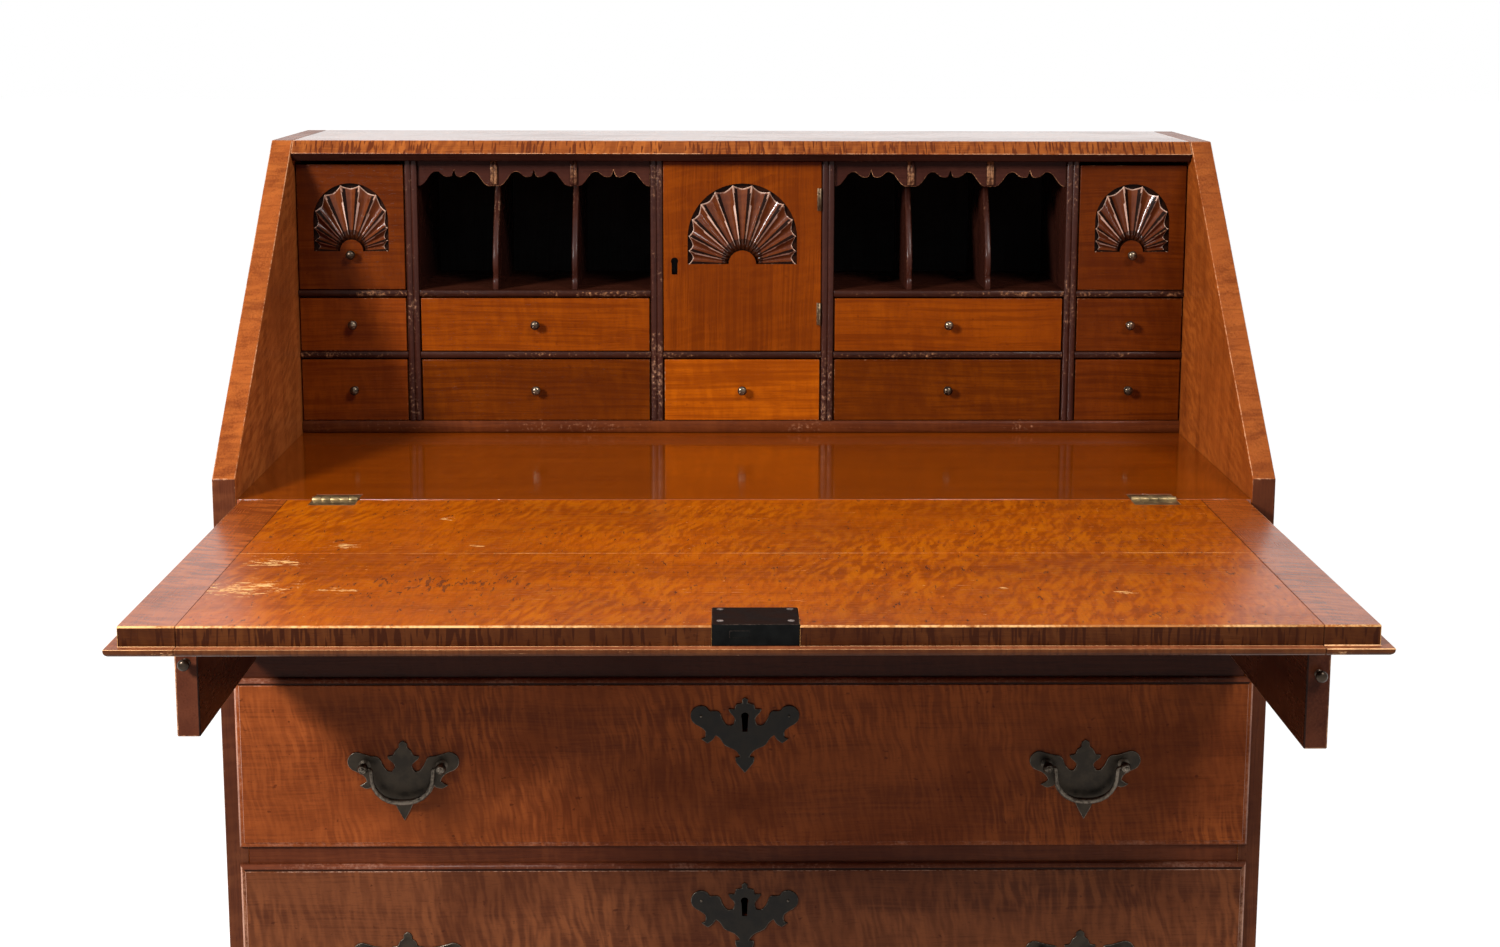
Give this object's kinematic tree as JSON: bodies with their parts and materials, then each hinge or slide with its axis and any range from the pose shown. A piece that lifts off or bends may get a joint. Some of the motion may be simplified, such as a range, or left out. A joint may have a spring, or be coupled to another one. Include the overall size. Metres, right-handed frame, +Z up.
{
  "type": "slant-front desk",
  "caption": "Slant-front writing desk in figured maple: a fold-down lid on pull-out lopers, a fitted gallery with a carved door, lipped long drawers and bracket feet.",
  "frame": {"origin": "on the floor, under the centre of the desk's bounding box with the lid open", "axes": "+X to the right of someone facing the desk, +Y from the lid to the back boards, +Z up"},
  "size_m": [0.938, 0.9068, 1.095],
  "materials": {
    "case_maple": "polished red-brown curly maple",
    "drawer_maple": "polished tiger maple with upright stripes",
    "lid_maple": "worn orange curly maple",
    "desk_maple": "glossy worn maple",
    "gallery_maple": "glossy orange maple",
    "gallery_dark": "dark brown polish worn at the beads",
    "secondary_wood": "plain dry softwood",
    "old_brass": "dark bronze patina",
    "lock_iron": "near-black iron"
  },
  "bodies": {
    "case": {"side_left": "case_maple", "side_right": "case_maple", "top_board": "case_maple", "back_boards": "secondary_wood", "bottom_board": "secondary_wood", "writing_board": "desk_maple", "drawer_blade_upper": "case_maple", "drawer_blade_middle": "case_maple", "drawer_blade_lower": "case_maple", "base_moulding": "case_maple", "foot_front_left": "case_maple", "foot_front_right": "case_maple", "foot_back_left": "case_maple", "foot_back_right": "case_maple", "gallery_plinth": "gallery_dark", "gallery_partition_1": "gallery_dark", "gallery_partition_2": "gallery_dark", "gallery_partition_3": "gallery_dark", "gallery_partition_4": "gallery_dark", "gallery_shelf_lower": "gallery_dark", "gallery_shelf_left": "gallery_dark", "gallery_shelf_right": "gallery_dark", "pigeonhole_divider_1": "gallery_dark", "pigeonhole_divider_2": "gallery_dark", "pigeonhole_divider_3": "gallery_dark", "pigeonhole_divider_4": "gallery_dark", "valance_left": "gallery_dark", "valance_right": "gallery_dark", "lid_hinge_left": "old_brass", "lid_hinge_right": "old_brass"},
    "lid": {"lid_panel": "lid_maple", "lid_cleat_left": "lid_maple", "lid_cleat_right": "lid_maple", "lid_lock": "lock_iron"},
    "loper_left": {"loper_left": "case_maple"},
    "loper_right": {"loper_right": "case_maple"},
    "prospect_door": {"prospect_door": "gallery_maple"},
    "long_drawer_1": {"long_drawer_1": "drawer_maple"},
    "long_drawer_2": {"long_drawer_2": "drawer_maple"},
    "long_drawer_3": {"long_drawer_3": "drawer_maple"},
    "long_drawer_4": {"long_drawer_4": "drawer_maple"},
    "small_drawer_left_lower": {"small_drawer_left_lower": "gallery_maple"},
    "small_drawer_left_middle": {"small_drawer_left_middle": "gallery_maple"},
    "wide_drawer_left_lower": {"wide_drawer_left_lower": "gallery_maple"},
    "wide_drawer_left_middle": {"wide_drawer_left_middle": "gallery_maple"},
    "fan_drawer_left": {"fan_drawer_left": "gallery_maple"},
    "small_drawer_right_lower": {"small_drawer_right_lower": "gallery_maple"},
    "small_drawer_right_middle": {"small_drawer_right_middle": "gallery_maple"},
    "wide_drawer_right_lower": {"wide_drawer_right_lower": "gallery_maple"},
    "wide_drawer_right_middle": {"wide_drawer_right_middle": "gallery_maple"},
    "fan_drawer_right": {"fan_drawer_right": "gallery_maple"},
    "centre_drawer": {"centre_drawer": "gallery_maple"},
    "bail_left_1": {"bail_left_1": "old_brass"},
    "bail_right_1": {"bail_right_1": "old_brass"},
    "bail_left_2": {"bail_left_2": "old_brass"},
    "bail_right_2": {"bail_right_2": "old_brass"},
    "bail_left_3": {"bail_left_3": "old_brass"},
    "bail_right_3": {"bail_right_3": "old_brass"},
    "bail_left_4": {"bail_left_4": "old_brass"},
    "bail_right_4": {"bail_right_4": "old_brass"}
  },
  "joints": [
    {"name": "lid_fold", "type": "hinge", "parent": "case", "child": "lid", "pos_m": [0, -0.0426, 0.805], "axis": [1, 0, 0], "range_deg": [-138.5, 0]},
    {"name": "loper_left_slide", "type": "slide", "parent": "case", "child": "loper_left", "axis": [0, -1, 0], "range_m": [-0.235, 0.034]},
    {"name": "loper_right_slide", "type": "slide", "parent": "case", "child": "loper_right", "axis": [0, -1, 0], "range_m": [-0.269, 0]},
    {"name": "prospect_door_swing", "type": "hinge", "parent": "case", "child": "prospect_door", "pos_m": [0.0765, 0.267, 0.981], "axis": [0, 0, 1], "range_deg": [0, 92]},
    {"name": "long_drawer_1_slide", "type": "slide", "parent": "case", "child": "long_drawer_1", "axis": [0, -1, 0], "range_m": [0, 0.38]},
    {"name": "long_drawer_2_slide", "type": "slide", "parent": "case", "child": "long_drawer_2", "axis": [0, -1, 0], "range_m": [0, 0.38]},
    {"name": "long_drawer_3_slide", "type": "slide", "parent": "case", "child": "long_drawer_3", "axis": [0, -1, 0], "range_m": [0, 0.38]},
    {"name": "long_drawer_4_slide", "type": "slide", "parent": "case", "child": "long_drawer_4", "axis": [0, -1, 0], "range_m": [0, 0.38]},
    {"name": "small_drawer_left_lower_slide", "type": "slide", "parent": "case", "child": "small_drawer_left_lower", "axis": [0, -1, 0], "range_m": [0, 0.13]},
    {"name": "small_drawer_left_middle_slide", "type": "slide", "parent": "case", "child": "small_drawer_left_middle", "axis": [0, -1, 0], "range_m": [0, 0.13]},
    {"name": "wide_drawer_left_lower_slide", "type": "slide", "parent": "case", "child": "wide_drawer_left_lower", "axis": [0, -1, 0], "range_m": [0, 0.13]},
    {"name": "wide_drawer_left_middle_slide", "type": "slide", "parent": "case", "child": "wide_drawer_left_middle", "axis": [0, -1, 0], "range_m": [0, 0.13]},
    {"name": "fan_drawer_left_slide", "type": "slide", "parent": "case", "child": "fan_drawer_left", "axis": [0, -1, 0], "range_m": [0, 0.13]},
    {"name": "small_drawer_right_lower_slide", "type": "slide", "parent": "case", "child": "small_drawer_right_lower", "axis": [0, -1, 0], "range_m": [0, 0.13]},
    {"name": "small_drawer_right_middle_slide", "type": "slide", "parent": "case", "child": "small_drawer_right_middle", "axis": [0, -1, 0], "range_m": [0, 0.13]},
    {"name": "wide_drawer_right_lower_slide", "type": "slide", "parent": "case", "child": "wide_drawer_right_lower", "axis": [0, -1, 0], "range_m": [0, 0.13]},
    {"name": "wide_drawer_right_middle_slide", "type": "slide", "parent": "case", "child": "wide_drawer_right_middle", "axis": [0, -1, 0], "range_m": [0, 0.13]},
    {"name": "fan_drawer_right_slide", "type": "slide", "parent": "case", "child": "fan_drawer_right", "axis": [0, -1, 0], "range_m": [0, 0.13]},
    {"name": "centre_drawer_slide", "type": "slide", "parent": "case", "child": "centre_drawer", "axis": [0, -1, 0], "range_m": [0, 0.13]},
    {"name": "bail_left_1_swing", "type": "hinge", "parent": "long_drawer_1", "child": "bail_left_1", "pos_m": [-0.298, -0.0623, 0.72575], "axis": [-1, 0, 0], "range_deg": [-12, 90]},
    {"name": "bail_right_1_swing", "type": "hinge", "parent": "long_drawer_1", "child": "bail_right_1", "pos_m": [0.298, -0.0623, 0.72575], "axis": [-1, 0, 0], "range_deg": [-12, 90]},
    {"name": "bail_left_2_swing", "type": "hinge", "parent": "long_drawer_2", "child": "bail_left_2", "pos_m": [-0.298, -0.0623, 0.57021], "axis": [-1, 0, 0], "range_deg": [-12, 90]},
    {"name": "bail_right_2_swing", "type": "hinge", "parent": "long_drawer_2", "child": "bail_right_2", "pos_m": [0.298, -0.0623, 0.57021], "axis": [-1, 0, 0], "range_deg": [-12, 90]},
    {"name": "bail_left_3_swing", "type": "hinge", "parent": "long_drawer_3", "child": "bail_left_3", "pos_m": [-0.298, -0.0623, 0.39421], "axis": [-1, 0, 0], "range_deg": [-12, 90]},
    {"name": "bail_right_3_swing", "type": "hinge", "parent": "long_drawer_3", "child": "bail_right_3", "pos_m": [0.298, -0.0623, 0.39421], "axis": [-1, 0, 0], "range_deg": [-12, 90]},
    {"name": "bail_left_4_swing", "type": "hinge", "parent": "long_drawer_4", "child": "bail_left_4", "pos_m": [-0.298, -0.0623, 0.208], "axis": [-1, 0, 0], "range_deg": [-12, 90]},
    {"name": "bail_right_4_swing", "type": "hinge", "parent": "long_drawer_4", "child": "bail_right_4", "pos_m": [0.298, -0.0623, 0.208], "axis": [-1, 0, 0], "range_deg": [-12, 90]}
  ]
}
